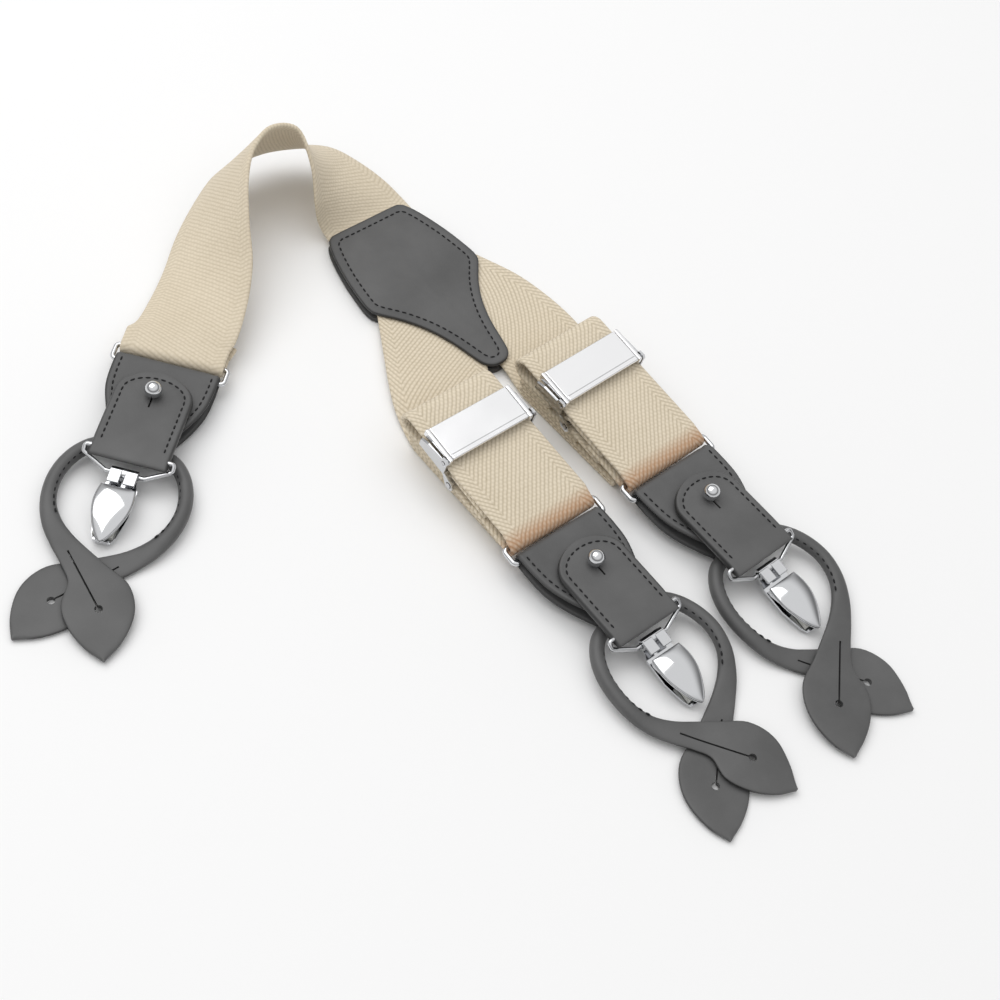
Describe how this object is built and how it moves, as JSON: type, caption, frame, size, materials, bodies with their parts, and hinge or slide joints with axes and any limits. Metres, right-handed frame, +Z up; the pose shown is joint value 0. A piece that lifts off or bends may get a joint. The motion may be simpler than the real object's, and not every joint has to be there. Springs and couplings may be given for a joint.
{
  "type": "convertible Y-back suspenders",
  "caption": "Y-back suspenders of beige elastic webbing with a grey leather crosspatch, chrome slide adjusters, and leather ends carrying clips and button loops.",
  "frame": {"origin": "on the crosspatch's flat underside, below its middle", "axes": "+Z up off the surface the suspenders lie on, +Y from the crosspatch towards the rear strap, -Y towards the two front straps' leather ends"},
  "size_m": [0.2346, 0.2982, 0.0401],
  "materials": {
    "webbing": "ribbed elastic webbing, matt",
    "leather": "smooth grey leather, semi-matt",
    "chrome": "polished plating",
    "rubber": "matt moulded"
  },
  "bodies": {
    "root": {"crosspatch_back": "leather", "crosspatch_front": "leather", "left_strap": "webbing", "right_strap": "webbing", "rear_strap": "webbing"},
    "left_adjuster": {"left_adjuster_frame": "chrome", "left_adjuster_bar": "chrome", "left_cover_pin": "chrome", "left_strap_end": "webbing"},
    "left_cover": {"left_adjuster_cover": "chrome"},
    "right_adjuster": {"right_adjuster_frame": "chrome", "right_adjuster_bar": "chrome", "right_cover_pin": "chrome", "right_strap_end": "webbing"},
    "right_cover": {"right_adjuster_cover": "chrome"},
    "left_ring_body": {"left_ring": "chrome"},
    "left_hanger_body": {"left_hanger": "leather", "left_stud": "chrome", "left_stud_screw": "chrome"},
    "left_tab_body": {"left_clip_tab": "leather"},
    "left_bail_body": {"left_bail": "chrome"},
    "left_clip_body": {"left_clip_plate": "chrome", "left_clip_pin": "chrome", "left_jaw_pad": "rubber"},
    "left_lever_body": {"left_clip_lever": "chrome"},
    "left_loop_body": {"left_button_loop": "leather"},
    "right_ring_body": {"right_ring": "chrome"},
    "right_hanger_body": {"right_hanger": "leather", "right_stud": "chrome", "right_stud_screw": "chrome"},
    "right_tab_body": {"right_clip_tab": "leather"},
    "right_bail_body": {"right_bail": "chrome"},
    "right_clip_body": {"right_clip_plate": "chrome", "right_clip_pin": "chrome", "right_jaw_pad": "rubber"},
    "right_lever_body": {"right_clip_lever": "chrome"},
    "right_loop_body": {"right_button_loop": "leather"},
    "rear_ring_body": {"rear_ring": "chrome"},
    "rear_hanger_body": {"rear_hanger": "leather", "rear_stud": "chrome", "rear_stud_screw": "chrome"},
    "rear_tab_body": {"rear_clip_tab": "leather"},
    "rear_bail_body": {"rear_bail": "chrome"},
    "rear_clip_body": {"rear_clip_plate": "chrome", "rear_clip_pin": "chrome", "rear_jaw_pad": "rubber"},
    "rear_lever_body": {"rear_clip_lever": "chrome"},
    "rear_loop_body": {"rear_button_loop": "leather"}
  },
  "joints": [
    {"name": "left_adjuster_slide", "type": "slide", "parent": "root", "child": "left_adjuster", "axis": [0.0432, -0.9896, -0.1374], "range_m": [-0.004, 0.008]},
    {"name": "left_cover_flip", "type": "hinge", "parent": "left_adjuster", "child": "left_cover", "pos_m": [-0.02872, -0.06948, 0.0184], "axis": [0.999, 0.0436, 0], "range_deg": [0, 100]},
    {"name": "right_adjuster_slide", "type": "slide", "parent": "root", "child": "right_adjuster", "axis": [0.0691, -0.9881, -0.1374], "range_m": [-0.004, 0.008]},
    {"name": "right_cover_flip", "type": "hinge", "parent": "right_adjuster", "child": "right_cover", "pos_m": [0.01833, -0.06953, 0.0184], "axis": [0.9976, 0.0698, 0], "range_deg": [0, 100]},
    {"name": "left_ring_swing", "type": "hinge", "parent": "root", "child": "left_ring_body", "pos_m": [-0.0273, -0.102, 0.00923], "axis": [-0.999, -0.0436, 0], "range_deg": [-40, 60]},
    {"name": "left_hanger_swing", "type": "hinge", "parent": "left_ring_body", "child": "left_hanger_body", "pos_m": [-0.02704, -0.10796, 0.00861], "axis": [-0.999, -0.0436, 0], "range_deg": [-40, 60]},
    {"name": "left_tab_swivel", "type": "hinge", "parent": "left_hanger_body", "child": "left_tab_body", "pos_m": [-0.02638, -0.12316, 0.0107], "axis": [0.0014, -0.033, 0.9995], "range_deg": [-4, 4]},
    {"name": "left_bail_swing", "type": "hinge", "parent": "left_tab_body", "child": "left_bail_body", "pos_m": [-0.02534, -0.14698, 0.01167], "axis": [0.999, 0.0436, 0], "range_deg": [-90, 40]},
    {"name": "left_clip_swing", "type": "hinge", "parent": "left_bail_body", "child": "left_clip_body", "pos_m": [-0.0251, -0.15229, 0.00759], "axis": [0.999, 0.0436, 0], "range_deg": [-60, 40]},
    {"name": "left_lever_lift", "type": "hinge", "parent": "left_clip_body", "child": "left_lever_body", "pos_m": [-0.02478, -0.15977, 0.00681], "axis": [-0.999, -0.0436, 0], "range_deg": [0, 75]},
    {"name": "left_loop_swing", "type": "hinge", "parent": "left_hanger_body", "child": "left_loop_body", "pos_m": [-0.0256, -0.14083, 0.00602], "axis": [-0.999, -0.0436, 0], "range_deg": [-30, 5]},
    {"name": "right_ring_swing", "type": "hinge", "parent": "root", "child": "right_ring_body", "pos_m": [0.0206, -0.102, 0.00923], "axis": [-0.9976, -0.0698, 0], "range_deg": [-40, 60]},
    {"name": "right_hanger_swing", "type": "hinge", "parent": "right_ring_body", "child": "right_hanger_body", "pos_m": [0.02102, -0.10795, 0.00861], "axis": [-0.9976, -0.0698, 0], "range_deg": [-40, 60]},
    {"name": "right_tab_swivel", "type": "hinge", "parent": "right_hanger_body", "child": "right_tab_body", "pos_m": [0.02208, -0.12313, 0.0107], "axis": [0.0023, -0.033, 0.9995], "range_deg": [-4, 4]},
    {"name": "right_bail_swing", "type": "hinge", "parent": "right_tab_body", "child": "right_bail_body", "pos_m": [0.02374, -0.14691, 0.01167], "axis": [0.9976, 0.0698, 0], "range_deg": [-90, 40]},
    {"name": "right_clip_swing", "type": "hinge", "parent": "right_bail_body", "child": "right_clip_body", "pos_m": [0.02411, -0.15222, 0.00759], "axis": [0.9976, 0.0698, 0], "range_deg": [-60, 40]},
    {"name": "right_lever_lift", "type": "hinge", "parent": "right_clip_body", "child": "right_lever_body", "pos_m": [0.02463, -0.15968, 0.00681], "axis": [-0.9976, -0.0698, 0], "range_deg": [0, 75]},
    {"name": "right_loop_swing", "type": "hinge", "parent": "right_hanger_body", "child": "right_loop_body", "pos_m": [0.02331, -0.14077, 0.00602], "axis": [-0.9976, -0.0698, 0], "range_deg": [-30, 5]},
    {"name": "rear_ring_swing", "type": "hinge", "parent": "root", "child": "rear_ring_body", "pos_m": [-0.0929, 0.0176, 0.0056], "axis": [-0.6665, 0.7455, 0], "range_deg": [-40, 60]},
    {"name": "rear_hanger_swing", "type": "hinge", "parent": "rear_ring_body", "child": "rear_hanger_body", "pos_m": [-0.09737, 0.0136, 0.00539], "axis": [-0.6665, 0.7455, 0], "range_deg": [-40, 60]},
    {"name": "rear_tab_swivel", "type": "hinge", "parent": "rear_hanger_body", "child": "rear_tab_body", "pos_m": [-0.10862, 0.00354, 0.0082], "axis": [0.0105, 0.0094, 0.9999], "range_deg": [-4, 4]},
    {"name": "rear_bail_swing", "type": "hinge", "parent": "rear_tab_body", "child": "rear_bail_body", "pos_m": [-0.12635, -0.0123, 0.01029], "axis": [0.6665, -0.7455, 0], "range_deg": [-90, 40]},
    {"name": "rear_clip_swing", "type": "hinge", "parent": "rear_bail_body", "child": "rear_clip_body", "pos_m": [-0.13045, -0.01597, 0.00646], "axis": [0.6665, -0.7455, 0], "range_deg": [-60, 40]},
    {"name": "rear_lever_lift", "type": "hinge", "parent": "rear_clip_body", "child": "rear_lever_body", "pos_m": [-0.13605, -0.02098, 0.00604], "axis": [-0.6665, 0.7455, 0], "range_deg": [0, 75]},
    {"name": "rear_loop_swing", "type": "hinge", "parent": "rear_hanger_body", "child": "rear_loop_body", "pos_m": [-0.12196, -0.00838, 0.00435], "axis": [-0.6665, 0.7455, 0], "range_deg": [-30, 5]}
  ]
}
